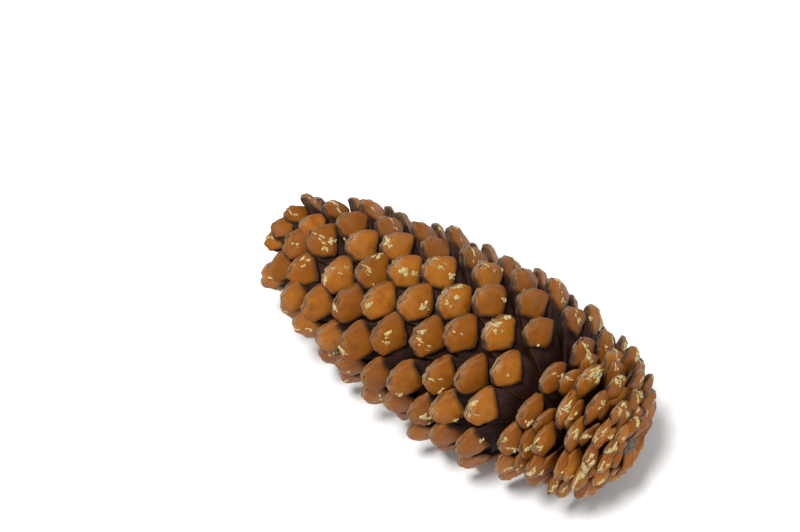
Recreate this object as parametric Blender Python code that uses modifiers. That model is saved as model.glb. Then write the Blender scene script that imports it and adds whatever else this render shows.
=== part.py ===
"""An opened sugar pine cone, lying on its side on a level surface.

The cone is one grown body: a slender woody core along +X with a cut stalk scar at the +X end, and
scales set round it on a spiral, each rooted deep in the core. Every scale has a narrow neck, a
broad thickened face on its outer side and a blunt tip. The scales lean towards the tip end of the
cone in the middle and at the tip end, and spread back towards the stalk at the base. Metres,
+Z up, and the lowest tips are worn flat at z = 0.
"""
import math
import random

import bmesh
import bpy
from mathutils import Matrix, Vector

NAME = "sugar_pine_cone"
MM = 0.001

# Core: axial place from the tip end, and radius, both in mm
CORE_PROFILE = (
    (29.0, 0.0), (30.5, 3.5), (42.0, 7.2), (75.0, 10.2), (140.0, 11.8), (205.0, 13.6), (238.0, 16.5),
    (258.0, 16.3), (270.0, 13.8), (279.0, 9.0), (285.0, 6.4), (285.0, 0.0),
)
CORE_SIDES = 12

# Spiral: one scale is anchored, and the rest follow it both ways at the rise of their place, in mm
DIVERGENCE_DEG = 165.134
ANCHOR_ROOT_MM = 159.6
ANCHOR_TURN_DEG = 110.2
FIRST_ROOT_MM = 33.0
LAST_ROOT_MM = 282.0
RISE_STOPS = (
    (33.0, 2.05), (48.0, 1.95), (65.0, 1.8), (95.0, 1.63), (130.0, 1.58), (150.0, 1.52), (190.0, 1.48),
    (205.0, 1.31), (228.0, 1.09), (240.0, 0.91), (255.0, 0.83), (282.0, 0.74),
)

# One scale, by the axial place of its root in mm: degrees from the axis, then mm
OPENING_STOPS = (
    (33.0, 22.0), (40.0, 30.0), (48.0, 36.0), (65.0, 42.0), (80.0, 45.0), (95.0, 48.0), (110.0, 50.0),
    (130.0, 52.0), (150.0, 54.0), (170.0, 57.0), (190.0, 59.0), (205.0, 61.0), (218.0, 64.0),
    (228.0, 69.0), (236.0, 78.0), (244.0, 86.0), (252.0, 92.0), (260.0, 98.0), (268.0, 102.0),
    (282.0, 104.0),
)
LENGTH_STOPS = (
    (33.0, 31.0), (40.0, 41.0), (48.0, 47.0), (65.0, 50.0), (80.0, 55.0), (95.0, 58.0), (110.0, 60.0),
    (130.0, 63.0), (150.0, 64.0), (190.0, 63.0), (205.0, 62.0), (218.0, 60.0), (228.0, 56.0),
    (236.0, 45.5), (244.0, 42.0), (252.0, 41.0), (260.0, 36.5), (268.0, 30.0), (275.0, 22.5),
    (282.0, 13.0),
)
HALF_WIDTH_STOPS = (
    (33.0, 8.5), (40.0, 10.2), (48.0, 11.0), (65.0, 12.2), (90.0, 13.4), (120.0, 14.4), (150.0, 15.0),
    (205.0, 14.8), (220.0, 14.0), (230.0, 13.4), (242.0, 12.8), (255.0, 12.0), (268.0, 10.4),
    (276.0, 8.4), (282.0, 6.4),
)
SWELL_STOPS = ((33.0, 3.6), (60.0, 4.8), (120.0, 5.8), (215.0, 5.8), (240.0, 4.6), (282.0, 2.6))
SCALE_SIDES = 6
SCALE_RINGS = 4
SCALE_START_DEG = 30.0
SMALL_SCALE_SIDES = 5
SMALL_SCALE_RINGS = 4
SMALL_SCALE_START_DEG = 180.0
SMALL_SCALE_FROM_MM = 236.0

# Outline of a scale along its own length: share of length, then shares of half width, of swell and of blade
STATIONS = (0.0, 0.5, 0.72, 0.93, 1.0)
WIDTH_SHARES = (0.0, 0.66, 1.0, 0.62, 0.0)
OUTER_SHARES = (0.0, 0.38, 1.0, 0.66, 0.0)
BLADE_HALF_MM = 1.35
INNER_SHARES = (0.0, 1.15, 1.0, 0.8, 0.0)
CAMBER_MM = 2.0
TIP_LIFT_MM = 1.6
ROOT_SINK_MM = 5.4

# Natural unevenness, drawn with one seed
SEED = 32
LENGTH_SPREAD = 0.045
WIDTH_SPREAD = 0.05
OPENING_SPREAD_DEG = 3.0
TURN_SPREAD_DEG = 2.0
TWIST_SPREAD_DEG = 5.0

# How the cone lies
REST_ROLL_DEG = -0.5
REST_PITCH_DEG = -2.0
FLAT_DEPTH_MM = 1.6
CUTTER_SIZE = (0.5, 0.3, 0.05)

# Finish of the scales
SCALE_COLOUR = (0.42, 0.17, 0.045, 1.0)
SCALE_ROUGHNESS = 0.5


def at(stops, place):
    """Reads a row of (place, value) stops, with straight lines between them."""
    for (left, low), (right, high) in zip(stops, stops[1:]):
        if place <= right:
            return low + (high - low) * (place - left) / (right - left)
    return stops[-1][1]


def eased(shares, place):
    """Reads evenly spaced shares at a place from 0 to 1."""
    step = place * (len(shares) - 1)
    low = min(int(step), len(shares) - 2)
    return shares[low] + (shares[low + 1] - shares[low]) * (step - low)


def roots():
    """Lists each scale's axial place in mm and its turn round the axis in degrees, tip end first."""
    found = [(ANCHOR_ROOT_MM, ANCHOR_TURN_DEG)]
    axial, turn = found[0]
    while axial - at(RISE_STOPS, axial) > FIRST_ROOT_MM:
        axial -= at(RISE_STOPS, axial)
        turn -= DIVERGENCE_DEG
        found.insert(0, (axial, turn))
    axial, turn = found[-1]
    while axial + at(RISE_STOPS, axial) < LAST_ROOT_MM:
        axial += at(RISE_STOPS, axial)
        turn += DIVERGENCE_DEG
        found.append((axial, turn))
    return found


def core_radius_mm(axial_mm):
    """Gives the core's radius at an axial place."""
    return at(CORE_PROFILE, axial_mm)


def build_core(collection):
    """Turns the core's profile round the cone's axis."""
    mesh = bpy.data.meshes.new("core_profile")
    points = [(x * MM, 0.0, radius * MM) for x, radius in CORE_PROFILE]
    edges = [(index, index + 1) for index in range(len(points) - 1)]
    mesh.from_pydata(points, edges, [])
    core = bpy.data.objects.new(NAME, mesh)
    collection.objects.link(core)
    turn = core.modifiers.new("turned", "SCREW")
    turn.axis = "X"
    turn.steps = CORE_SIDES
    turn.render_steps = CORE_SIDES
    turn.use_merge_vertices = True
    turn.merge_threshold = 0.0001
    turn.use_smooth_shade = True
    return core


def scale_frame(axial, turn_deg, opening_deg, twist_deg):
    """Gives the matrix of a scale: X across it, Y out of its outer face, Z from root to tip."""
    turn = math.radians(turn_deg)
    opening = math.radians(opening_deg)
    radial = Vector((0.0, math.cos(turn), math.sin(turn)))
    stalkward = Vector((1.0, 0.0, 0.0))
    along = radial * math.sin(opening) - stalkward * math.cos(opening)
    outward = radial * math.cos(opening) + stalkward * math.sin(opening)
    across = outward.cross(along)
    frame = Matrix((across, outward, along)).transposed()
    frame = frame @ Matrix.Rotation(math.radians(twist_deg), 3, "Z")
    base = radial * (core_radius_mm(axial) - ROOT_SINK_MM) + stalkward * axial
    return Matrix.Translation(base * MM) @ frame.to_4x4()


def shape_scale(bm, length_mm, half_width_mm, swell_mm):
    """Draws a unit ball out into a scale with a neck, a swollen outer face and a blunt tip."""
    for vert in bm.verts:
        share = 1.0 - math.acos(max(-1.0, min(1.0, vert.co.z))) / math.pi
        side = math.atan2(vert.co.y, vert.co.x)
        station = eased(STATIONS, share)
        across = math.cos(side) * half_width_mm * eased(WIDTH_SHARES, share)
        if math.sin(side) > 0.0:
            depth = swell_mm * eased(OUTER_SHARES, share)
        else:
            depth = BLADE_HALF_MM * eased(INNER_SHARES, share)
        camber = CAMBER_MM * math.sin(math.pi * station) - TIP_LIFT_MM * station ** 3
        out = math.sin(side) * depth + camber
        vert.co = Vector((across, out, station * length_mm)) * MM


def build_scales(collection):
    """Sets every scale on the spiral."""
    draw = random.Random(SEED)
    for index, (axial, turn) in enumerate(roots()):
        length = at(LENGTH_STOPS, axial) * (1.0 + draw.uniform(-1.0, 1.0) * LENGTH_SPREAD)
        half_width = at(HALF_WIDTH_STOPS, axial) * (1.0 + draw.uniform(-1.0, 1.0) * WIDTH_SPREAD)
        opening = at(OPENING_STOPS, axial) + draw.uniform(-1.0, 1.0) * OPENING_SPREAD_DEG
        turn += draw.uniform(-1.0, 1.0) * TURN_SPREAD_DEG
        twist = draw.uniform(-1.0, 1.0) * TWIST_SPREAD_DEG
        bm = bmesh.new()
        if axial > SMALL_SCALE_FROM_MM:
            bmesh.ops.create_uvsphere(bm, u_segments=SMALL_SCALE_SIDES, v_segments=SMALL_SCALE_RINGS, radius=1.0)
            bm.transform(Matrix.Rotation(math.radians(SMALL_SCALE_START_DEG), 4, "Z"))
        else:
            bmesh.ops.create_uvsphere(bm, u_segments=SCALE_SIDES, v_segments=SCALE_RINGS, radius=1.0)
            bm.transform(Matrix.Rotation(math.radians(SCALE_START_DEG), 4, "Z"))
        shape_scale(bm, length + ROOT_SINK_MM, half_width, at(SWELL_STOPS, axial))
        bm.transform(scale_frame(axial, turn, opening, twist))
        bmesh.ops.recalc_face_normals(bm, faces=bm.faces[:])
        mesh = bpy.data.meshes.new(f"scale_{index:03d}")
        bm.to_mesh(mesh)
        bm.free()
        collection.objects.link(bpy.data.objects.new(mesh.name, mesh))


def settled_mesh(source):
    """Copies an object's shape with its modifiers worked out."""
    graph = bpy.context.evaluated_depsgraph_get()
    return bpy.data.meshes.new_from_object(source.evaluated_get(graph))


def keep_main_body(mesh):
    """Keeps the largest closed piece: loose scraps and sealed hollows go."""
    bm = bmesh.new()
    bm.from_mesh(mesh)
    unseen = set(bm.verts)
    pieces = []
    while unseen:
        stack = [unseen.pop()]
        piece = set(stack)
        while stack:
            for edge in stack.pop().link_edges:
                for vert in edge.verts:
                    if vert in unseen:
                        unseen.discard(vert)
                        piece.add(vert)
                        stack.append(vert)
        pieces.append(piece)
    pieces.sort(key=len, reverse=True)
    for piece in pieces[1:]:
        bmesh.ops.delete(bm, geom=list(piece), context="VERTS")
    bm.to_mesh(mesh)
    bm.free()


def fuse(core, scales):
    """Joins the scales to the core in one union, then clears the loose ones."""
    union = core.modifiers.new("scales_fused", "BOOLEAN")
    union.operation = "UNION"
    union.operand_type = "COLLECTION"
    union.collection = scales
    union.solver = "EXACT"
    union.use_self = True
    mesh = settled_mesh(core)
    core.modifiers.clear()
    core.data = mesh
    for loose in list(scales.objects):
        bpy.data.objects.remove(loose, do_unlink=True)
    bpy.data.collections.remove(scales)
    keep_main_body(mesh)


def lay_down(cone):
    """Rolls and pitches the cone to the way it lies and centres it over the origin."""
    mesh = cone.data
    middle = Matrix.Translation(Vector((-0.5 * CORE_PROFILE[-1][0] * MM, 0.0, 0.0)))
    roll = Matrix.Rotation(math.radians(REST_ROLL_DEG), 4, "X")
    pitch = Matrix.Rotation(math.radians(REST_PITCH_DEG), 4, "Y")
    mesh.transform(pitch @ roll @ middle)
    lowest = min(vert.co.z for vert in mesh.vertices)
    mesh.transform(Matrix.Translation(Vector((0.0, 0.0, -lowest - FLAT_DEPTH_MM * MM))))
    above = [vert.co for vert in mesh.vertices if vert.co.z > 0.0]
    centre_x = 0.5 * (min(co.x for co in above) + max(co.x for co in above))
    centre_y = 0.5 * (min(co.y for co in above) + max(co.y for co in above))
    mesh.transform(Matrix.Translation(Vector((-centre_x, -centre_y, 0.0))))


def wear_flat(cone, cutters):
    """Takes the lowest tips off level, so that the cone has small flats to lie on."""
    bm = bmesh.new()
    bmesh.ops.create_cube(bm, size=1.0)
    size = Matrix.Diagonal((*CUTTER_SIZE, 1.0))
    bm.transform(Matrix.Translation(Vector((0.0, 0.0, -0.5 * CUTTER_SIZE[2]))) @ size)
    mesh = bpy.data.meshes.new("floor_cutter")
    bm.to_mesh(mesh)
    bm.free()
    cutter = bpy.data.objects.new("floor_cutter", mesh)
    cutter.hide_render = True
    cutter.display_type = "WIRE"
    cutters.objects.link(cutter)
    worn = cone.modifiers.new("tips_worn_flat", "BOOLEAN")
    worn.operation = "DIFFERENCE"
    worn.object = cutter
    worn.solver = "EXACT"


def bark_material():
    """Gives the orange brown of the scale faces, with a slight shine."""
    material = bpy.data.materials.new("cone_scale")
    material.use_nodes = True
    shader = material.node_tree.nodes["Principled BSDF"]
    shader.inputs["Base Color"].default_value = SCALE_COLOUR
    shader.inputs["Roughness"].default_value = SCALE_ROUGHNESS
    shader.inputs["Metallic"].default_value = 0.0
    return material


def main():
    """Builds the cone from its core, its scales and the flats that it lies on."""
    for item in list(bpy.data.objects):
        bpy.data.objects.remove(item, do_unlink=True)
    scene = bpy.context.scene.collection
    body = bpy.data.collections.new("sugar_pine_cone_body")
    cutters = bpy.data.collections.new("cutters")
    scales = bpy.data.collections.new("loose_scales")
    for collection in (body, cutters, scales):
        scene.children.link(collection)
    core = build_core(body)
    build_scales(scales)
    fuse(core, scales)
    lay_down(core)
    wear_flat(core, cutters)
    core.data.materials.clear()
    core.data.materials.append(bark_material())


main()
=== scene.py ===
"""An opened sugar pine cone lying on its side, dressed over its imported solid.

The full scales are set on the same seeded spiral as the solid's. Each has a fine surface: a dark
covered neck, a thick orange brown face that starts at a V, pale worn edges and a layered, blunt
tip. Smaller scales crowd the base, dried resin lies on the faces, and the core ends in the broken
stalk. Metres, +Z up.
"""

import enum
import logging
import math
import random
from dataclasses import dataclass, field
from typing import Sequence

import bpy
import numpy as np
from mathutils import Matrix, Vector


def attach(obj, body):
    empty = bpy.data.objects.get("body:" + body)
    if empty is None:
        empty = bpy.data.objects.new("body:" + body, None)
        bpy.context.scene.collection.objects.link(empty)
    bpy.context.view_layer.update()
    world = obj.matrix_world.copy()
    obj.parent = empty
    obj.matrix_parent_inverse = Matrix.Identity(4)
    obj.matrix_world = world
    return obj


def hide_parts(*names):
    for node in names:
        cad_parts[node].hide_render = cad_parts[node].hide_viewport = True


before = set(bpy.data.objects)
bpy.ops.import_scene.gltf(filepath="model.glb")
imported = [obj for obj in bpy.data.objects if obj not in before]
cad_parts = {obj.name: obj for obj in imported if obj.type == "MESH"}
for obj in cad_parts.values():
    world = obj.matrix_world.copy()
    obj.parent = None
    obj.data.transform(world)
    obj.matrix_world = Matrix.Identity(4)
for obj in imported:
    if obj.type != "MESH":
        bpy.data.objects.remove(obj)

LOG = logging.getLogger("sugar_pine_cone")
MM = 0.001
NODE = "sugar_pine_cone"
CREASE_DEG = 42.0

Stops = Sequence[tuple[float, float]]
Colour = tuple[float, float, float, float]
Faces = list[tuple[int, ...]]
Values = float | np.ndarray
Socket = bpy.types.NodeSocket


class Zone(enum.Enum):
    """Stretches of the cone, by the axial place of a scale's root in mm."""

    TIP_END = (0.0, 96.0)
    FORE_BODY = (96.0, 152.0)
    HIND_BODY = (152.0, 208.0)
    BASE = (208.0, 400.0)


def at(stops: Stops, place: float) -> float:
    """Reads a row of stops with straight lines between them.

    Args:
        stops: Pairs of place and value, in order of place.
        place: Where the row is read.

    Returns:
        The value at the place, held level beyond the last stop.
    """
    for (left, low), (right, high) in zip(stops, stops[1:]):
        if place <= right:
            return low + (high - low) * (place - left) / (right - left)
    return stops[-1][1]


def flowing(stops: Stops, places: np.ndarray) -> np.ndarray:
    """Reads a row of stops along a smooth curve that never overshoots them.

    Args:
        stops: Pairs of place and value, in order of place.
        places: Where the row is read.

    Returns:
        One value for each place.
    """
    x, y = np.array(stops, dtype=float).T
    step = np.diff(x)
    slope = np.diff(y) / step
    tangent = np.zeros(len(x))
    same = slope[:-1] * slope[1:] > 0.0
    safe = np.where(same, slope[:-1] + slope[1:], 1.0)
    tangent[1:-1] = np.where(same, 2.0 * slope[:-1] * slope[1:] / safe, 0.0)
    tangent[0], tangent[-1] = slope[0], slope[-1]
    low = np.clip(np.searchsorted(x, places, side="right") - 1, 0, len(x) - 2)
    t = np.clip((places - x[low]) / step[low], 0.0, 1.0)
    square, cube = t * t, t * t * t
    return (
        (2 * cube - 3 * square + 1) * y[low]
        + (cube - 2 * square + t) * step[low] * tangent[low]
        + (3 * square - 2 * cube) * y[low + 1]
        + (cube - square) * step[low] * tangent[low + 1]
    )


def straight(stops: Stops, places: np.ndarray) -> np.ndarray:
    """Reads a row of stops with straight lines between them, at many places."""
    x, y = np.array(stops, dtype=float).T
    return np.interp(places, x, y)


def part_way(value: float, low: float, high: float) -> float:
    """Says how far a value has come from low to high, from 0 to 1."""
    return min(1.0, max(0.0, (value - low) / (high - low)))


def grown(rows: np.ndarray, start: float, stretch: float) -> np.ndarray:
    """Rises evenly from 0 at the start to 1 after the stretch, and is level beyond both."""
    return np.clip((rows - start) / stretch, 0.0, 1.0)


def between(share: float, first: Values, second: Values) -> Values:
    """Mixes two values by the second one's share."""
    return (1.0 - share) * first + share * second


def carried(points: np.ndarray, whole: np.ndarray) -> np.ndarray:
    """Carries points through a 4 by 4 matrix."""
    return points @ whole[:3, :3].T + whole[:3, 3]


def waves(points: np.ndarray, draw: np.random.Generator, count: int, length: float) -> np.ndarray:
    """Adds up smooth waves in random directions, for gentle unevenness.

    Args:
        points: Places in mm, one row each.
        draw: Source of the random directions.
        count: How many waves.
        length: Mean wave length in mm.

    Returns:
        One value for each place, mostly between -1 and 1.
    """
    total = np.zeros(len(points))
    for _ in range(count):
        way = draw.normal(size=points.shape[1])
        way /= np.linalg.norm(way)
        pace = 2.0 * math.pi / (length * draw.uniform(0.6, 1.6))
        total += np.sin(points @ way * pace + draw.uniform(0.0, 2.0 * math.pi))
    return total / math.sqrt(count)


def joined(parts: Sequence[tuple[np.ndarray, Faces]]) -> tuple[np.ndarray, Faces]:
    """Joins meshes into one.

    Args:
        parts: The points and the faces of each mesh.

    Returns:
        All the points, and all the faces by the joined point numbers.
    """
    faces, start = [], 0
    for spots, rows in parts:
        faces.extend([tuple(start + spot for spot in row) for row in rows])
        start += len(spots)
    return np.vstack([spots for spots, _ in parts]), faces


@dataclass(frozen=True)
class SpiralRule:
    """The rule that sets every scale's root, size and attitude, the same as the solid's."""

    divergence_deg: float = 165.134
    anchor_root_mm: float = 159.6
    anchor_turn_deg: float = 110.2
    first_root_mm: float = 33.0
    last_root_mm: float = 282.0
    rise: Stops = (
        (33.0, 2.05), (48.0, 1.95), (65.0, 1.8), (95.0, 1.63), (130.0, 1.58), (150.0, 1.52),
        (190.0, 1.48),
        (205.0, 1.31), (228.0, 1.09), (240.0, 0.91), (255.0, 0.83), (282.0, 0.74),
    )
    opening: Stops = (
        (33.0, 22.0), (40.0, 30.0), (48.0, 36.0), (65.0, 42.0), (80.0, 45.0), (95.0, 48.0),
        (110.0, 50.0),
        (130.0, 52.0), (150.0, 54.0), (170.0, 57.0), (190.0, 59.0), (205.0, 61.0), (218.0, 64.0),
        (228.0, 69.0), (236.0, 78.0), (244.0, 86.0), (252.0, 92.0), (260.0, 98.0), (268.0, 102.0),
        (282.0, 104.0),
    )
    length: Stops = (
        (33.0, 31.0), (40.0, 41.0), (48.0, 47.0), (65.0, 50.0), (80.0, 55.0), (95.0, 58.0),
        (110.0, 60.0),
        (130.0, 63.0), (150.0, 64.0), (190.0, 63.0), (205.0, 62.0), (218.0, 60.0), (228.0, 56.0),
        (236.0, 45.5), (244.0, 42.0), (252.0, 41.0), (260.0, 36.5), (268.0, 30.0), (275.0, 22.5),
        (282.0, 13.0),
    )
    half_width: Stops = (
        (33.0, 8.5), (40.0, 10.2), (48.0, 11.0), (65.0, 12.2), (90.0, 13.4), (120.0, 14.4),
        (150.0, 15.0),
        (205.0, 14.8), (220.0, 14.0), (230.0, 13.4), (242.0, 12.8), (255.0, 12.0), (268.0, 10.4),
        (276.0, 8.4), (282.0, 6.4),
    )
    swell: Stops = ((33.0, 3.6), (60.0, 4.8), (120.0, 5.8), (215.0, 5.8), (240.0, 4.6),
        (282.0, 2.6))
    core_radius: Stops = (
        (29.0, 0.0), (30.5, 3.5), (42.0, 7.2), (75.0, 10.2), (140.0, 11.8), (205.0, 13.6),
        (238.0, 16.5),
        (258.0, 16.3), (270.0, 13.8), (279.0, 9.0), (285.0, 6.4),
    )
    seed: int = 32
    length_spread: float = 0.045
    width_spread: float = 0.05
    opening_spread_deg: float = 3.0
    turn_spread_deg: float = 2.0
    twist_spread_deg: float = 5.0
    root_sink_mm: float = 5.4

    def roots(self) -> list[tuple[float, float]]:
        """Walks along the spiral from the anchor, first to the tip end and then to the stalk.

        Returns:
            Each scale's axial place in mm and its turn in degrees, tip end first.
        """
        found = [(self.anchor_root_mm, self.anchor_turn_deg)]
        axial, turn = found[0]
        while axial - at(self.rise, axial) > self.first_root_mm:
            axial -= at(self.rise, axial)
            turn -= self.divergence_deg
            found.insert(0, (axial, turn))
        axial, turn = found[-1]
        while axial + at(self.rise, axial) < self.last_root_mm:
            axial += at(self.rise, axial)
            turn += self.divergence_deg
            found.append((axial, turn))
        return found


@dataclass(frozen=True)
class RestingPose:
    """How the cone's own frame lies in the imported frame."""

    middle_mm: float = 142.5
    roll_deg: float = -0.5
    pitch_deg: float = -2.0
    shift_mm: tuple[float, float, float] = (-0.4731, 1.6839, 62.4239)

    def matrix(self) -> np.ndarray:
        """Gives the 4 by 4 matrix from the cone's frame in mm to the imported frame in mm."""
        whole = (
            Matrix.Translation(Vector(self.shift_mm))
            @ Matrix.Rotation(math.radians(self.pitch_deg), 4, "Y")
            @ Matrix.Rotation(math.radians(self.roll_deg), 4, "X")
            @ Matrix.Translation(Vector((-self.middle_mm, 0.0, 0.0)))
        )
        return np.array(whole)


@dataclass
class SeedScale:
    """One scale: its place on the spiral, its sizes in mm and its own unevenness."""

    index: int
    axial: float
    turn_deg: float
    opening_deg: float
    twist_deg: float
    length: float
    half_width: float
    swell: float
    core_radius: float
    sink: float

    def frame(self) -> np.ndarray:
        """Gives the matrix from the scale's frame to the cone's, in mm.

        Returns:
            A 4 by 4 matrix: X across the scale, Y out of its outer face, Z from root to tip.
        """
        turn, opening = math.radians(self.turn_deg), math.radians(self.opening_deg)
        radial = Vector((0.0, math.cos(turn), math.sin(turn)))
        stalkward = Vector((1.0, 0.0, 0.0))
        along = radial * math.sin(opening) - stalkward * math.cos(opening)
        outward = radial * math.cos(opening) + stalkward * math.sin(opening)
        across = outward.cross(along)
        turned = Matrix((across, outward, along)).transposed()
        turned = turned @ Matrix.Rotation(math.radians(self.twist_deg), 3, "Z")
        base = radial * (self.core_radius - self.sink) + stalkward * self.axial
        return np.array(Matrix.Translation(base) @ turned.to_4x4())


@dataclass(frozen=True)
class ScaleSurface:
    """The fine surface of one scale, by shares of its length, half width and swell.

    Rows of stops are read at a row place: 0 at the root, step_row where the thick face starts and 1
    at the tip. A pair called rows holds the row place where something begins and its stretch.
    """

    width: Stops = (
        (0.0, 0.46), (0.2, 0.62), (0.45, 0.83), (0.64, 0.94), (0.690, 0.955), (0.708, 0.99),
        (0.73, 1.0),
        (0.80, 0.95), (0.88, 0.79), (0.945, 0.56), (0.985, 0.34), (1.0, 0.0),
    )
    outer: Stops = (
        (0.0, 0.30), (0.3, 0.28), (0.5, 0.28), (0.675, 0.34), (0.712, 0.90), (0.77, 1.0),
        (0.86, 0.96),
        (0.93, 0.86), (0.975, 0.68), (1.0, 0.0),
    )
    inner: Stops = (
        (0.0, 1.2), (0.3, 1.15), (0.6, 1.1), (0.85, 1.25), (0.95, 1.1), (0.985, 0.6), (1.0, 0.0),
    )
    base_width: Stops = (
        (0.0, 0.62), (0.3, 0.76), (0.5, 0.90), (0.60, 0.98), (0.645, 1.16), (0.70, 1.17),
        (0.80, 0.98),
        (0.90, 0.66), (0.97, 0.34), (1.0, 0.0),
    )
    base_outer: Stops = (
        (0.0, 0.50), (0.3, 0.50), (0.5, 0.56), (0.60, 0.62), (0.66, 1.0), (0.72, 1.12), (0.84, 1.0),
        (0.93, 0.78), (0.975, 0.52), (1.0, 0.0),
    )
    base_from_mm: tuple[float, float] = (230.0, 262.0)
    full_neck_mm: tuple[float, float] = (216.0, 15.0)
    full_neck_share: float = 0.55
    neck_row: float = 0.62
    body_rows: tuple[float, float] = (0.35, 0.3)
    tip_rows: tuple[float, float] = (0.8, 0.2)
    bend_rows: tuple[float, float] = (0.62, 0.38)
    crest_rows: tuple[float, float] = (0.5, 0.35)
    blade_half_mm: float = 1.35
    camber_mm: float = 2.0
    tip_lift_mm: float = 1.6
    tip_lift_spread_mm: tuple[float, float] = (-0.7, 0.9)
    around: int = 38
    stations: int = 32
    small_length_mm: float = 46.0
    small_around: int = 30
    small_stations: int = 26
    tip_crowding: float = 1.55
    edge_wave_mm: float = 0.55
    edge_waves: tuple[int, float] = (5, 7.0)
    edges_apart_mm: float = 40.0
    face_wave_mm: float = 0.35
    face_waves: tuple[int, float] = (7, 11.0)
    faces_apart_mm: float = 60.0
    notch_mm: float = 0.7
    notch_waves: tuple[int, float] = (4, 6.0)
    notch_middle: float = 0.3
    crest_mm: float = 0.55
    crest_narrowness: float = 2.6
    umbo_mm: float = 0.9
    umbo_rows: tuple[float, float] = (0.955, 0.03)
    umbo_narrowness: float = 2.0
    umbo_spread: tuple[float, float] = (0.5, 1.2)
    umbo_inside: float = 0.3
    hollow_mm: tuple[float, float] = (-0.5, 0.9)
    hollow_level: float = 0.4
    hollow_inside: float = 0.6
    squareness: float = 0.66
    rim_sharpness: float = 0.28
    dome_share: float = 0.16
    base_keel: float = 0.60
    far_side_taper: float = 0.26
    step_row: float = 0.70
    step_apex: float = 0.630
    step_corner: float = 0.81
    base_step_corner: float = 0.73
    apex_across: float = 0.20
    apex_wander: float = 0.16
    apex_pace: float = 2.4
    lean_mm: float = 2.9
    lean_spread_mm: float = 0.9
    base_lean_spread_mm: float = 2.4
    full_lean_half_mm: float = 13.0
    side_mean: float = 0.99
    side_spread: float = 0.05
    base_side_spread: float = 0.09
    ridge_spread: float = 0.35
    fullness: float = 1.08
    seed: int = 1000

    def baseness(self, scale: SeedScale) -> float:
        """Says how far a scale is a full, crowded base scale, from 0 to 1."""
        return part_way(scale.axial, *self.base_from_mm)

    def steps(self, count: int) -> np.ndarray:
        """Gives row places, closer together towards the tip."""
        even = np.linspace(0.0, 1.0, count)
        return 1.0 - (1.0 - even) ** self.tip_crowding

    def face_start(self, scale: SeedScale, flat: np.ndarray) -> np.ndarray:
        """Gives the share of the length where the thick face starts, a V that points to the root.

        Args:
            scale: The scale.
            flat: Places across the scale, from -1 to 1.

        Returns:
            One share of the length for each place across.
        """
        apex = self.apex_across + self.apex_wander * math.sin(self.apex_pace * scale.index)
        corner = between(self.baseness(scale), self.step_corner, self.base_step_corner)
        off = np.abs(flat - apex) / np.where(flat > apex, 1.0 - apex, 1.0 + apex)
        return self.step_apex + (corner - self.step_apex) * off

    def length_share(self, scale: SeedScale, row: np.ndarray, flat: np.ndarray) -> np.ndarray:
        """Turns row places into shares of the length.

        Args:
            scale: The scale.
            row: The row places.
            flat: Places across the scale, from -1 to 1.

        Returns:
            One share of the length for each row place.
        """
        start, step = self.face_start(scale, flat), self.step_row
        beyond = start + (row - step) * (1.0 - start) / (1.0 - step)
        return np.where(row < step, row * start / step, beyond)

    def row_place(self, scale: SeedScale, share: np.ndarray, flat: np.ndarray) -> np.ndarray:
        """Turns shares of the length into row places.

        Args:
            scale: The scale.
            share: The shares of the length.
            flat: Places across the scale, from -1 to 1.

        Returns:
            One row place for each share.
        """
        start, step = self.face_start(scale, flat), self.step_row
        beyond = step + (share - start) * (1.0 - step) / (1.0 - start)
        return np.where(share < start, share * step / start, beyond)

    def half_widths(self, scale: SeedScale, row: np.ndarray) -> np.ndarray:
        """Gives half widths, fuller on the necks where the base begins.

        Args:
            scale: The scale.
            row: The row places.

        Returns:
            One half width in mm for each row place.
        """
        low = self.baseness(scale)
        half = between(low, straight(self.width, row), straight(self.base_width, row))
        middle, reach = self.full_neck_mm
        near = math.exp(-(((scale.axial - middle) / reach) ** 2))
        neck = np.clip(1.0 - row / self.neck_row, 0.0, 1.0)
        half = half * (1.0 + self.full_neck_share * near * neck)
        return half * scale.half_width

    def thickness(self, scale: SeedScale, row: np.ndarray, flat: np.ndarray, sine: np.ndarray,
                  ridge: float) -> np.ndarray:
        """Gives the surface's height off the blade's middle, with crisp rims and a domed face.

        Args:
            scale: The scale.
            row: The row places.
            flat: Places across the scale, from -1 to 1.
            sine: Sines of the side angles, above 0 on the outer face.
            ridge: Place across where a base scale's keel stands.

        Returns:
            One height in mm for each row place, below 0 on the inner side.
        """
        low = self.baseness(scale)
        outer = between(low, flowing(self.outer, row), flowing(self.base_outer, row))
        depth_out = self.fullness * scale.swell * outer
        depth_in = self.blade_half_mm * flowing(self.inner, row)
        crisp = np.abs(sine) ** self.rim_sharpness
        keel = self.base_keel * low
        slope = np.where(flat > ridge, 1.0 - ridge, 1.0 + ridge)
        soft = self.dome_share * (1.0 - flat ** 2) + keel * (1.0 - np.abs(flat - ridge) / slope)
        over = sine > 0.0
        dome = np.where(over, (1.0 - self.dome_share - keel) * crisp + soft, crisp)
        return np.where(over, depth_out, -depth_in) * dome

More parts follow.
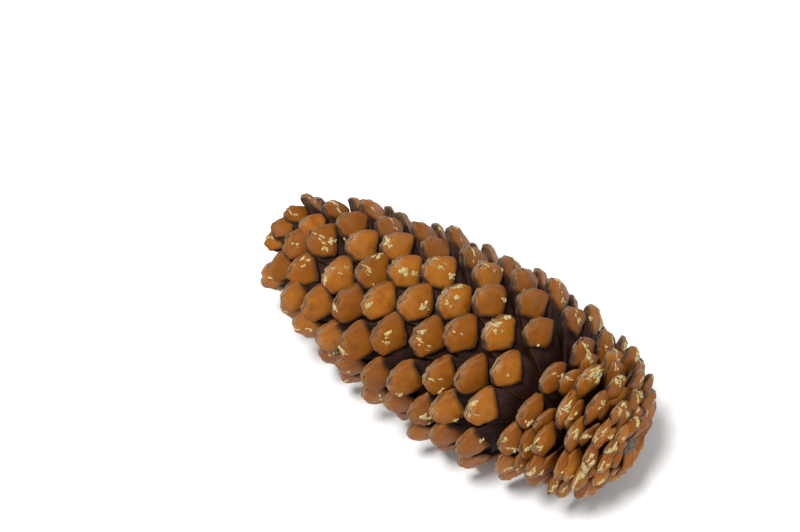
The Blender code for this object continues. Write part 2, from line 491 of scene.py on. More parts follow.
    def points(self, scale: SeedScale, row: np.ndarray, side: np.ndarray) -> np.ndarray:
        """Gives places on a scale's surface in its own frame.

        Args:
            scale: The scale, whose index seeds its own unevenness.
            row: The row places.
            side: Angles round the section in radians, 0 to pi over the outer face.

        Returns:
            One row of X, Y and Z in mm for each pair of row place and side.
        """
        draw = np.random.default_rng(self.seed + scale.index)
        low = self.baseness(scale)
        cosine, sine = np.cos(side), np.sin(side)
        over = sine > 0.0
        body, tip = grown(row, *self.body_rows), grown(row, *self.tip_rows)
        bent = grown(row, *self.bend_rows) ** 2
        skew = draw.uniform(-self.lean_spread_mm, self.lean_spread_mm) + self.lean_mm
        skew *= min(1.0, scale.half_width / self.full_lean_half_mm)
        loose = self.side_spread + self.base_side_spread * low
        left = draw.uniform(self.side_mean - loose, self.side_mean + loose)
        right = draw.uniform(self.side_mean - loose, self.side_mean + loose)
        skew += draw.uniform(-self.base_lean_spread_mm, self.base_lean_spread_mm) * low
        ridge = draw.uniform(-self.ridge_spread, self.ridge_spread)
        taper = 1.0 - self.far_side_taper * (1.0 - low) * bent
        half = self.half_widths(scale, row) * np.where(cosine > 0.0, right, left * taper)
        flat = np.sign(cosine) * np.abs(cosine) ** self.squareness
        x = flat * half + skew * bent
        far = self.length_share(scale, row, flat)
        rim = np.stack([far * scale.length, np.sign(cosine) * self.edges_apart_mm], 1)
        edge = np.sign(cosine) * self.edge_wave_mm * body * (1.0 - tip ** 3) * np.abs(flat)
        x += edge * waves(rim, draw, *self.edge_waves)
        y = self.thickness(scale, row, flat, sine, ridge)
        crest = np.exp(-((flat * self.crest_narrowness) ** 2)) * np.where(over, 1.0, 0.0)
        y += crest * self.crest_mm * grown(row, *self.crest_rows) * (1.0 - tip ** 2)
        middle, reach = self.umbo_rows
        umbo = np.exp(-(((row - middle) / reach) ** 2) - (flat * self.umbo_narrowness) ** 2)
        umbo = np.where(over, umbo, self.umbo_inside * umbo)
        y += umbo * self.umbo_mm * draw.uniform(*self.umbo_spread)
        span = [flat * half, far * scale.length, np.where(over, 0.0, self.faces_apart_mm)]
        wave = self.face_wave_mm * body * (1.0 - tip)
        y += wave * waves(np.stack(span, 1), draw, *self.face_waves) * np.abs(sine) ** 0.5
        hollow = draw.uniform(*self.hollow_mm) * body * (np.abs(flat) ** 2 - self.hollow_level)
        y += hollow * np.where(over, 1.0, self.hollow_inside)
        lift = self.tip_lift_mm + draw.uniform(*self.tip_lift_spread_mm)
        y += self.camber_mm * np.sin(math.pi * far) - lift * far ** 3
        notch = waves(np.stack([flat * half, 0.0 * half], 1), draw, *self.notch_waves)
        worn = tip ** 2 * self.notch_mm * (1.0 + notch) * (self.notch_middle + np.abs(flat))
        return np.stack([x, y, far * scale.length - worn], 1)

    def grid(self, scale: SeedScale) -> tuple[np.ndarray, np.ndarray, np.ndarray, Faces]:
        """Builds one scale's closed mesh in its own frame.

        Args:
            scale: The scale.

        Returns:
            The points, their row places, their side angles, and the faces.
        """
        small = scale.length < self.small_length_mm
        around = self.small_around if small else self.around
        count = self.small_stations if small else self.stations
        ring = np.linspace(0.0, 2.0 * math.pi, around, endpoint=False)
        steps = self.steps(count)[1:-1]
        row_places = np.concatenate([[0.0], np.repeat(steps, around), [1.0]])
        side = np.concatenate([[0.5 * math.pi], np.tile(ring, len(steps)), [0.5 * math.pi]])
        points = self.points(scale, row_places, side)
        points[0, 0] = 0.0
        faces = []
        rows = len(steps)
        for spot in range(around):
            following = (spot + 1) % around
            faces.append((0, 1 + following, 1 + spot))
            for row in range(rows - 1):
                low, high = 1 + row * around, 1 + (row + 1) * around
                faces.append((low + spot, low + following, high + following, high + spot))
            last = 1 + (rows - 1) * around
            faces.append((last + spot, last + following, 1 + rows * around))
        return points, row_places, side, faces


def new_piece(name: str, points: np.ndarray, faces: Faces, smooth: bool = True) -> bpy.types.Object:
    """Makes an object from points in metres.

    Args:
        name: The piece's name.
        points: One row of X, Y and Z for each point.
        faces: Rows of point numbers.
        smooth: Whether the faces are shaded smooth.

    Returns:
        The object, linked to the scene.
    """
    mesh = bpy.data.meshes.new(name)
    mesh.from_pydata([tuple(point) for point in points], [], faces)
    mesh.validate()
    mesh.update()
    if smooth:
        mesh.polygons.foreach_set("use_smooth", [True] * len(mesh.polygons))
        mesh.set_sharp_from_angle(angle=math.radians(CREASE_DEG))
    piece = bpy.data.objects.new(name, mesh)
    bpy.context.scene.collection.objects.link(piece)
    return piece


def mark(piece: bpy.types.Object, name: str, values: np.ndarray) -> None:
    """Stores one value or one vector on each point of a piece.

    Args:
        piece: The piece.
        name: The mark's name, which its finish reads.
        values: One number, or a row of three, for each point.
    """
    single = values.ndim == 1
    layer = piece.data.attributes.new(name, "FLOAT" if single else "FLOAT_VECTOR", "POINT")
    layer.data.foreach_set("value" if single else "vector", values.astype(np.float32).ravel())


class Weave:
    """A small helper that lays out a material's nodes in order."""

    def __init__(self, name: str) -> None:
        """Starts an empty material with a Principled shader.

        Args:
            name: The material's name.
        """
        self.material = bpy.data.materials.new(name)
        self.material.use_nodes = True
        self.tree = self.material.node_tree
        self.shader = self.tree.nodes["Principled BSDF"]

    def put(self, socket: Socket, value: object) -> None:
        """Links a socket, or sets a plain value.

        Args:
            socket: The input.
            value: Another node's output, or a plain value.
        """
        if isinstance(value, Socket):
            self.tree.links.new(value, socket)
        else:
            socket.default_value = value

    def fill(self, node: bpy.types.Node, inputs: dict[str | int, object]) -> bpy.types.Node:
        """Fills a node's inputs.

        Args:
            node: The node.
            inputs: What goes into each input, by its name or number.

        Returns:
            The same node.
        """
        for place, value in inputs.items():
            self.put(node.inputs[place], value)
        return node

    def mark(self, name: str, vector: bool = False) -> Socket:
        """Reads a mark stored on the piece.

        Args:
            name: The mark's name.
            vector: Whether it holds three numbers.

        Returns:
            The mark's value.
        """
        node = self.tree.nodes.new("ShaderNodeAttribute")
        node.attribute_name = name
        return node.outputs["Vector" if vector else "Fac"]

    def place(self) -> Socket:
        """Gives places in the piece's own frame, in metres."""
        return self.tree.nodes.new("ShaderNodeTexCoord").outputs["Object"]

    def stretched(self, source: Socket, scale: tuple[float, float, float]) -> Socket:
        """Scales texture places by X, Y and Z."""
        node = self.tree.nodes.new("ShaderNodeMapping")
        return self.fill(node, {"Vector": source, "Scale": scale}).outputs["Vector"]

    def noise(self, where: Socket, scale: float, detail: float = 3.0,
              rough: float = 0.55) -> Socket:
        """Reads a cloudy noise, about 0.5 in the middle.

        Args:
            where: Texture places.
            scale: How many clouds lie in a unit of length.
            detail: How many finer layers it has.
            rough: How strong the finer layers are.

        Returns:
            The noise.
        """
        inputs = {"Vector": where, "Scale": scale, "Detail": detail, "Roughness": rough}
        return self.fill(self.tree.nodes.new("ShaderNodeTexNoise"), inputs).outputs["Fac"]

    def ramp(self, value: Socket, low: float, high: float, out_low: float = 0.0,
             out_high: float = 1.0) -> Socket:
        """Maps a stretch of values smoothly onto another.

        Args:
            value: The value.
            low: Where the stretch begins.
            high: Where it ends, which may be below its beginning.
            out_low: What the beginning becomes.
            out_high: What the end becomes.

        Returns:
            The mapped value, level beyond both ends.
        """
        node = self.tree.nodes.new("ShaderNodeMapRange")
        node.interpolation_type = "SMOOTHSTEP"
        inputs = {"Value": value, "From Min": low, "From Max": high}
        inputs.update({"To Min": out_low, "To Max": out_high})
        return self.fill(node, inputs).outputs["Result"]

    def maths(self, kind: str, first: object, second: object = 0.0) -> Socket:
        """Works out one sum.

        Args:
            kind: The kind of sum.
            first: Its first value.
            second: Its second value, where it has one.

        Returns:
            The outcome.
        """
        node = self.tree.nodes.new("ShaderNodeMath")
        node.operation = kind
        return self.fill(node, {0: first, 1: second}).outputs[0]

    def times(self, first: object, second: object) -> Socket:
        """Multiplies two values."""
        return self.maths("MULTIPLY", first, second)

    def raised(self, value: Socket, by: Socket, amount: float) -> Socket:
        """Adds an amount of one value to another."""
        return self.maths("ADD", value, self.times(by, amount))

    def swayed(self, value: Socket, by: Socket, amount: float) -> Socket:
        """Moves a value up and down with a noise that is 0.5 in the middle."""
        return self.raised(value, self.maths("SUBTRACT", by, 0.5), amount)

    def blend(self, share: object, first: object, second: object, kind: str = "MIX") -> Socket:
        """Mixes two colours.

        Args:
            share: The second colour's share.
            first: The first colour.
            second: The second colour.
            kind: The way they mix.

        Returns:
            The mixed colour.
        """
        node = self.tree.nodes.new("ShaderNodeMix")
        node.data_type = "RGBA"
        node.blend_type = kind
        return self.fill(node, {"Factor": share, "A": first, "B": second}).outputs["Result"]

    def coats(self, colour: Socket, layers: Sequence[tuple[Socket, Colour]]) -> Socket:
        """Lays coats of colour over each other.

        Args:
            colour: The lowest colour.
            layers: Each coat's share and colour, from the lowest up.

        Returns:
            The colour on top.
        """
        for share, coat in layers:
            colour = self.blend(share, colour, coat)
        return colour

    def relief(self, height: Socket, distance: float, strength: float) -> None:
        """Gives the surface a fine relief.

        Args:
            height: The relief's height, from 0 to 1.
            distance: What the height of 1 stands for, in metres.
            strength: How much of it shows.
        """
        inputs = {"Strength": strength, "Distance": distance, "Height": height}
        node = self.fill(self.tree.nodes.new("ShaderNodeBump"), inputs)
        self.put(self.shader.inputs["Normal"], node.outputs["Normal"])


@dataclass(frozen=True)
class BarkMarks:
    """What the bark's finish reads: the marks on the scales, and noises over their grain."""

    along: Socket
    across: Socket
    outer: Socket
    tone: Socket
    bared: Socket
    weather_and_sheen: Socket
    sideways: Socket
    streak: Socket
    cloud: Socket
    speck: Socket
    layers: Socket
    bound: Socket


@dataclass(frozen=True)
class ScaleFinish:
    """Orange brown faces, a dark covered neck, pale worn edges and tip, a tan inner side, and
    painted shade and sheen.
    """

    face: Colour = (0.34, 0.105, 0.008, 1.0)
    face_pale: Colour = (0.42, 0.145, 0.014, 1.0)
    face_deep: Colour = (0.20, 0.050, 0.008, 1.0)
    # The covered neck: its own dark red brown, kept very dark as painted shade between the scales,
    # and a paler purple grey painted sheen for its end near the face.
    covered: Colour = (0.030, 0.010, 0.006, 1.0)
    covered_sheen: Colour = (0.066, 0.032, 0.025, 1.0)
    margin: Colour = (0.085, 0.040, 0.010, 1.0)
    inner: Colour = (0.150, 0.066, 0.028, 1.0)
    edge: Colour = (0.31, 0.150, 0.052, 1.0)
    bleached: Colour = (0.42, 0.285, 0.155, 1.0)
    weathered_and_sheen: Colour = (0.33, 0.130, 0.033, 1.0)
    # The thick sides: dark on the shaded side as painted shade, orange on the lit side.
    wall_with_shade: Colour = (0.045, 0.026, 0.016, 1.0)
    wall_lit: Colour = (0.30, 0.100, 0.014, 1.0)
    wall_pale: Colour = (0.28, 0.175, 0.095, 1.0)
    streak_stretch: tuple[float, float, float] = (0.55, 0.55, 0.09)
    layer_stretch: tuple[float, float, float] = (0.12, 1.5, 0.12)
    bare_from: tuple[float, float] = (0.712, 0.726)
    # The stretch across the scale where the sides turn from lit to painted shade, for the sides and
    # the shadow line.
    shaded_side: tuple[float, float] = (-0.3, 0.3)
    wall_from: tuple[float, float] = (0.30, 0.44)
    outer_from: tuple[float, float] = (0.52, 0.64)
    tone_shades: tuple[float, float] = (0.70, 0.90)
    specular: float = 0.12
    relief_m: float = 0.0009
    relief_strength: float = 0.55

    def marks(self, w: Weave) -> BarkMarks:
        """Reads the marks and lays out the noises.

        Args:
            w: The material's nodes.

        Returns:
            What the finish reads.
        """
        grain = w.mark("grain", vector=True)
        names = ("along", "across", "outer", "tone", "bared", "weather_and_sheen")
        found = {name: w.mark(name) for name in names}
        streak = w.noise(w.stretched(grain, self.streak_stretch), 1.0, 4.0, 0.6)
        return BarkMarks(
            **found,
            sideways=w.maths("ABSOLUTE", found["across"]),
            streak=streak,
            cloud=w.noise(grain, 0.11, 3.0),
            speck=w.noise(grain, 0.9, 3.0, 0.65),
            layers=w.noise(w.stretched(grain, self.layer_stretch), 1.0, 2.0, 0.5),
            bound=w.swayed(found["bared"], streak, 0.03),
        )

    def face_colour(self, w: Weave, m: BarkMarks) -> Socket:
        """Colours the bare face: cloudy, specked, paler in patches and on the far upper side as
        painted sheen, and deeper towards its borders.

        Args:
            w: The material's nodes.
            m: What the finish reads.

        Returns:
            The colour.
        """
        pale = w.ramp(w.raised(m.cloud, m.tone, 0.25), 0.42, 0.78)
        # Pale pinkish patches: weathering at random, plus a painted sheen on the far upper side.
        patch = w.ramp(w.raised(m.cloud, m.weather_and_sheen, 0.36), 0.70, 0.98, 0.0, 0.75)
        border = w.swayed(m.sideways, m.cloud, 0.9)
        coats = (
            (patch, self.weathered_and_sheen),
            (w.ramp(m.streak, 0.60, 0.36, 0.0, 0.20), self.face_deep),
            (w.ramp(m.cloud, 0.47, 0.30, 0.0, 0.45), self.face_deep),
            (w.ramp(m.speck, 0.64, 0.74, 0.0, 0.55), self.edge),
            (w.ramp(m.speck, 0.40, 0.30, 0.0, 0.55), self.face_deep),
            (w.ramp(border, 0.40, 0.98, 0.0, 0.50), self.face_deep),
            (w.ramp(m.bound, 0.775, 0.730, 0.0, 0.65), self.margin),
        )
        return w.coats(w.blend(pale, self.face, self.face_pale), coats)

    def outer_colour(self, w: Weave, m: BarkMarks) -> Socket:
        """Colours the whole outer side: the covered neck with painted shade and sheen, the face,
        the worn edges, the tip and a painted shadow line.

        Args:
            w: The material's nodes.
            m: What the finish reads.

        Returns:
            The colour.
        """
        # The neck is darkest deep in as painted shade, and takes a purple grey painted sheen nearer
        # the face.
        neck_sheen = w.times(w.ramp(m.bared, 0.42, 0.64), w.ramp(m.streak, 0.35, 0.6, 0.45, 1.0))
        hidden = w.blend(neck_sheen, self.covered, self.covered_sheen)
        worn = w.swayed(m.sideways, m.speck, 0.34)
        rim = w.times(w.ramp(worn, 0.88, 0.98), w.ramp(m.along, 0.80, 0.90))
        # A painted shadow line: a thin dark band along the face's edge, on the shaded side only.
        shadow_line = w.times(w.ramp(m.sideways, 0.88, 0.95), w.ramp(m.along, 0.92, 0.80))
        shadow_line = w.times(shadow_line, w.ramp(m.across, *self.shaded_side))
        tip = w.swayed(m.along, m.speck, 0.17)
        crack = w.times(w.ramp(m.layers, 0.50, 0.44), w.ramp(m.along, 0.962, 0.982))
        coats = (
            (w.times(rim, 0.7), self.edge),
            (w.times(shadow_line, 0.80), self.margin),
            (w.ramp(tip, 0.95, 0.985, 0.0, 0.85), self.edge),
            (w.ramp(w.raised(tip, m.tone, 0.02), 0.98, 1.01, 0.0, 0.75), self.bleached),
            (w.times(crack, 0.85), self.covered),
        )
        face = self.face_colour(w, m)
        return w.coats(w.blend(w.ramp(m.bound, *self.bare_from), hidden, face), coats)

    def wall_colour(self, w: Weave, m: BarkMarks) -> Socket:
        """Colours the scale's thick sides, layered, dark on the neck, and painted dark as shade on
        one side.

        Args:
            w: The material's nodes.
            m: What the finish reads.

        Returns:
            The colour.
        """
        coats = (
            (w.ramp(w.raised(m.along, m.speck, 0.2), 0.98, 1.08), self.wall_pale),
            (w.ramp(m.layers, 0.57, 0.64, 0.0, 0.55), self.wall_pale),
            (w.ramp(m.layers, 0.47, 0.41, 0.0, 0.80), self.covered),
        )
        # One side of the scale is painted dark as shade, and the other is lit orange.
        wall_with_shade = w.coats(w.blend(w.ramp(m.across, *self.shaded_side), self.wall_lit, self.wall_with_shade), coats)
        return w.blend(w.ramp(m.bared, 0.66, 0.72), self.covered, wall_with_shade)

    def material(self) -> bpy.types.Material:
        """Builds the finish, which reads the marks on the scales.

        Returns:
            The material.
        """
        w = Weave("scale_bark")
        m = self.marks(w)
        under = w.blend(w.ramp(m.along, 0.80, 0.97), self.inner, self.edge)
        under = w.blend(w.ramp(m.streak, 0.55, 0.35, 0.0, 0.6), under, self.covered)
        under = w.blend(w.ramp(m.outer, *self.wall_from), under, self.wall_colour(w, m))
        colour = w.blend(w.ramp(m.outer, *self.outer_from), under, self.outer_colour(w, m))
        shade = w.ramp(m.tone, -1.0, 1.0, *self.tone_shades)
        tint = w.tree.nodes.new("ShaderNodeCombineColor")
        w.fill(tint, {"Red": shade, "Green": shade, "Blue": shade})
        colour = w.blend(1.0, colour, tint.outputs["Color"], "MULTIPLY")
        w.put(w.shader.inputs["Base Color"], colour)
        rough = w.ramp(m.speck, 0.3, 0.75, 0.36, 0.60)
        rough = w.maths("ADD", rough, w.ramp(m.bound, 0.712, 0.732, 0.22, 0.0))
        w.put(w.shader.inputs["Roughness"], rough)
        w.shader.inputs["Specular IOR Level"].default_value = self.specular
        height = w.maths("ADD", w.times(m.streak, 0.35), w.times(m.speck, 0.65))
        w.relief(height, self.relief_m, self.relief_strength)
        return w.material


@dataclass(frozen=True)
class ResinFinish:
    """Dried resin: cream to honey yellow, matt and chalky, with a few clearer spots."""

    cream: Colour = (0.58, 0.475, 0.215, 1.0)
    honey: Colour = (0.50, 0.33, 0.08, 1.0)
    dirt: Colour = (0.22, 0.15, 0.075, 1.0)
    specular: float = 0.4
    relief_m: float = 0.0008
    relief_strength: float = 0.7

    def material(self) -> bpy.types.Material:
        """Builds the finish.

        Returns:
            The material.
        """
        w = Weave("dried_resin")
        place = w.place()
        patch = w.noise(place, 260.0, 3.0)
        crumb = w.noise(place, 900.0, 4.0, 0.65)
        colour = w.blend(w.ramp(patch, 0.48, 0.66), self.cream, self.honey)
        colour = w.blend(w.ramp(crumb, 0.52, 0.36, 0.0, 0.8), colour, self.dirt)
        w.put(w.shader.inputs["Base Color"], colour)
        w.put(w.shader.inputs["Roughness"], w.ramp(patch, 0.4, 0.7, 0.75, 0.45))
        w.shader.inputs["Specular IOR Level"].default_value = self.specular
        w.relief(crumb, self.relief_m, self.relief_strength)
        return w.material


@dataclass(frozen=True)
class CoreFinish:
    """Dark corky wood round the core, grey and fibrous on the broken stalk."""

    cork: Colour = (0.045, 0.022, 0.014, 1.0)
    cork_pale: Colour = (0.12, 0.06, 0.032, 1.0)
    stalk: Colour = (0.235, 0.190, 0.140, 1.0)
    stalk_dark: Colour = (0.055, 0.042, 0.035, 1.0)
    fibre_stretch: tuple[float, float, float] = (90.0, 700.0, 700.0)
    relief_m: float = 0.0012
    relief_strength: float = 0.8

    def material(self) -> bpy.types.Material:
        """Builds the finish.

        Returns:
            The material.
        """
        w = Weave("corky_core")
        place = w.place()
        scar = w.mark("scar")
        fibre = w.noise(w.stretched(place, self.fibre_stretch), 1.0, 4.0, 0.65)
        pit = w.noise(place, 480.0, 4.0, 0.7)
        cork = w.blend(w.ramp(fibre, 0.4, 0.65), self.cork, self.cork_pale)
        stalk = w.blend(w.ramp(pit, 0.42, 0.60), self.stalk_dark, self.stalk)
        w.put(w.shader.inputs["Base Color"], w.blend(w.ramp(scar, 0.3, 0.7), cork, stalk))
        w.put(w.shader.inputs["Roughness"], w.ramp(pit, 0.3, 0.7, 0.7, 0.95))
        w.relief(w.maths("ADD", fibre, pit), self.relief_m, self.relief_strength)
        return w.material


@dataclass(frozen=True)
class FloorFinish:
    """The plain near white surface that the cone lies on."""

    white: Colour = (0.90, 0.90, 0.90, 1.0)
    dull: Colour = (0.88, 0.88, 0.88, 1.0)
    roughness: float = 0.9

    def material(self) -> bpy.types.Material:
        """Builds the finish.

        Returns:
            The material.
        """
        w = Weave("pale_floor")
        colour = w.blend(w.noise(w.place(), 2.0), self.white, self.dull)
        w.put(w.shader.inputs["Base Color"], colour)
        w.shader.inputs["Roughness"].default_value = self.roughness
        return w.material


@dataclass
class ScaleCoat:
    """All the scales, set on the spiral and built zone by zone."""

    rule: SpiralRule = field(default_factory=SpiralRule)
    surface: ScaleSurface = field(default_factory=ScaleSurface)
    pose: RestingPose = field(default_factory=RestingPose)
    scales: list[SeedScale] = field(default_factory=list)
    small_scales: list[SeedScale] = field(default_factory=list)
    bared_shift: float = 0.20
    bared_end: float = 0.5
    bared_to_root_mm: tuple[float, float] = (261.0, 275.0)
    small_from_mm: float = 231.0
    small_chance: float = 0.8
    small_step: float = 5.5
    small_turn_deg: float = 5.5
    small_opening_deg: tuple[float, float] = (-8.0, 3.0)
    small_length: tuple[float, float] = (0.80, 0.98)
    small_width: tuple[float, float] = (0.66, 0.96)
    small_twist_deg: float = 16.0
    small_swell: float = 0.72
    small_index: int = 500
    weather_mean: float = 0.25
    # How much paler the far upper side is, as a painted sheen: the amount, then its weights away
    # and up.
    sheen_facing: tuple[float, float, float] = (0.5, 0.75, 0.66)
    weather_spread: float = 0.3
    tone_seed: int = 5000
    grain_mm: float = 400.0

    def lay_out(self) -> None:
        """Draws every scale's sizes and attitude in the solid's own order."""
        rule = self.rule
        draw = random.Random(rule.seed)
        for index, (axial, turn) in enumerate(rule.roots()):
            length = at(rule.length, axial) * (1.0 + draw.uniform(-1.0, 1.0) * rule.length_spread)
            half = at(rule.half_width, axial) * (1.0 + draw.uniform(-1.0, 1.0) * rule.width_spread)
            opening = at(rule.opening, axial) + draw.uniform(-1.0, 1.0) * rule.opening_spread_deg
            turn += draw.uniform(-1.0, 1.0) * rule.turn_spread_deg
            twist = draw.uniform(-1.0, 1.0) * rule.twist_spread_deg
            self.scales.append(
                SeedScale(
                    index, axial, turn, opening, twist, length + rule.root_sink_mm, half,
                    at(rule.swell, axial), at(rule.core_radius, axial), rule.root_sink_mm,
                )
            )

    def lay_out_small(self) -> None:
        """Sets a smaller scale in most of the gaps between the base scales."""
        rule = self.rule
        draw = random.Random(rule.seed + 1)
        for scale in self.scales:
            axial = scale.axial + self.small_step * at(rule.rise, scale.axial)
            if scale.axial < self.small_from_mm or axial > rule.last_root_mm:
                continue
            if draw.random() > self.small_chance:
                continue
            turn = scale.turn_deg + draw.uniform(-1.0, 1.0) * self.small_turn_deg
            opening = at(rule.opening, axial) + draw.uniform(*self.small_opening_deg)
            length = at(rule.length, axial) * draw.uniform(*self.small_length)
            half = at(rule.half_width, axial) * draw.uniform(*self.small_width)
            twist = draw.uniform(-self.small_twist_deg, self.small_twist_deg)
            swell = self.small_swell * at(rule.swell, axial)
            self.small_scales.append(
                SeedScale(
                    self.small_index + scale.index, axial, turn, opening, twist,
                    length + rule.root_sink_mm, half, swell, at(rule.core_radius, axial),
                    rule.root_sink_mm,
                )
            )

    def placed(self, scale: SeedScale, points: np.ndarray) -> np.ndarray:
        """Carries points from a scale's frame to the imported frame, and keeps them off the floor.

        Args:
            scale: The scale.
            points: Points in the scale's frame, in mm.

        Returns:
            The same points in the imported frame, in mm.
        """
        moved = carried(points, self.pose.matrix() @ scale.frame())
        moved[:, 2] = np.maximum(moved[:, 2], 0.0)
        return moved

    def weathering_and_sheen(self, scale: SeedScale, draw: random.Random) -> float:
        """Says how pale and pinkish a scale is: weathered at random, and paler on the far upper
        side as a painted sheen.

        Args:
            scale: The scale.
            draw: Source of the scales' differences.

        Returns:
            How pale it is, from 0 to 1.
        """
        turn = math.radians(scale.turn_deg)
        amount, away, up = self.sheen_facing
        facing = away * math.cos(turn) + up * math.sin(turn)
        own = draw.uniform(-self.weather_spread, self.weather_spread)
        return min(1.0, max(0.0, self.weather_mean + amount * facing + own))

    def bared_by(self, scale: SeedScale) -> float:
        """Says how much more of a scale is bare than on the body, as a share of its length."""
        last = part_way(scale.axial, *self.bared_to_root_mm)
        return self.bared_shift * self.surface.baseness(scale) + self.bared_end * last

    def within(self, zone: Zone) -> list[SeedScale]:
        """Lists the full scales whose roots lie in a zone."""
        return [scale for scale in self.scales if zone.value[0] <= scale.axial < zone.value[1]]

    def build(self, name: str, scales: list[SeedScale]) -> bpy.types.Object:
        """Builds some scales as one piece.

        Args:
            name: The piece's name.
            scales: The scales that it holds.

        Returns:
            The piece, with the marks that its finish reads.
        """
        parts: list[tuple[np.ndarray, Faces]] = []
        marks: dict[str, list[np.ndarray]] = {}
        for scale in scales:
            local, row, side, faces = self.surface.grid(scale)
            draw = random.Random(self.tone_seed + scale.index)
            parts.append((self.placed(scale, local), faces))
            found = {
                "along": row,
                "across": np.cos(side),
                "outer": 0.5 + 0.5 * np.sin(side),
                "bared": row + self.bared_by(scale),
                "tone": np.full(len(local), draw.uniform(-1.0, 1.0)),
                "weather_and_sheen": np.full(len(local), self.weathering_and_sheen(scale, draw)),
                "grain": local + np.array([draw.uniform(0.0, self.grain_mm) for _ in range(3)]),
            }
            for mark_name, values in found.items():
                marks.setdefault(mark_name, []).append(values)
        points, faces = joined(parts)
        piece = new_piece(name, points * MM, faces)
        for mark_name, values in marks.items():
            mark(piece, mark_name, np.concatenate(values))
        return piece

    def dress(self, piece: bpy.types.Object, finish: bpy.types.Material) -> None:
        """Gives a zone its finish and its place in the frame.

        Args:
            piece: The zone's piece.
            finish: Its material.
        """
        piece.data.materials.append(finish)
        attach(piece, "root")
        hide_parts(NODE)


@dataclass
class CorkyCore:
    """The turned core with the broken stalk at its end."""

    rule: SpiralRule = field(default_factory=SpiralRule)
    pose: RestingPose = field(default_factory=RestingPose)
    around: int = 72
    step_mm: float = 2.5
    least_radius_mm: float = 0.02
    scar_depth_mm: float = 1.6
    scar_rings: tuple[float, ...] = (0.86, 0.6, 0.3, 0.02)
    scar_depths: tuple[float, ...] = (0.0, -0.5, -0.9, -1.0)
    roughness_mm: float = 0.5
    rough_waves: tuple[int, float] = (9, 3.2)
    scar_roughness: float = 1.1
    cork_roughness: float = 0.06
    seed: int = 77

    def build(self) -> bpy.types.Object:
        """Builds the core's closed surface.

        Returns:
            The piece, with the mark of the stalk scar.
        """
        profile = self.rule.core_radius
        length = profile[-1][0] - profile[0][0]
        count = int(length / self.step_mm)
        axial = np.linspace(profile[0][0], profile[-1][0], count)
        radius = np.array([at(profile, place) for place in axial])
        scar_radius = radius[-1] * np.array(self.scar_rings)
        scar_axial = axial[-1] + np.array(self.scar_depths) * self.scar_depth_mm
        axial = np.concatenate([axial, scar_axial])
        radius = np.concatenate([np.maximum(radius, self.least_radius_mm), scar_radius])
        turn = np.linspace(0.0, 2.0 * math.pi, self.around, endpoint=False)
        y, z = np.outer(radius, np.cos(turn)).ravel(), np.outer(radius, np.sin(turn)).ravel()
        points = np.stack([np.repeat(axial, self.around), y, z], 1)
        draw = np.random.default_rng(self.seed)
        scar = np.repeat(np.arange(len(axial)) >= count - 1, self.around).astype(float)
        bump = waves(points, draw, *self.rough_waves) * self.roughness_mm
        points[:, 0] += np.where(scar > 0.5, -np.abs(bump) * self.scar_roughness, 0.0)
        points[:, 1:] *= 1.0 + np.where(scar > 0.5, 0.0, bump * self.cork_roughness)[:, None]
        faces = []
        for row in range(len(axial) - 1):
            low, high = row * self.around, (row + 1) * self.around
            for spot in range(self.around):
                following = (spot + 1) % self.around
                faces.append((low + spot, low + following, high + following, high + spot))
        faces.append(tuple(reversed(range(self.around))))
        last = (len(axial) - 1) * self.around
        faces.append(tuple(last + spot for spot in range(self.around)))
        piece = new_piece("corky_core", carried(points, self.pose.matrix()) * MM, faces)
        mark(piece, "scar", scar)
        return piece

    def dress(self, piece: bpy.types.Object, finish: bpy.types.Material) -> None:
        """Gives the core its finish and its place in the frame.

        Args:
            piece: The core.
            finish: Its material.
        """
        piece.data.materials.append(finish)
        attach(piece, "root")
        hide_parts(NODE)


@dataclass(frozen=True)
class Crust:
    """One patch of dried resin: the scale, its place on the outer face and its size in mm."""

    scale: int
    along: float
    across: float
    size: float
    lumps: int


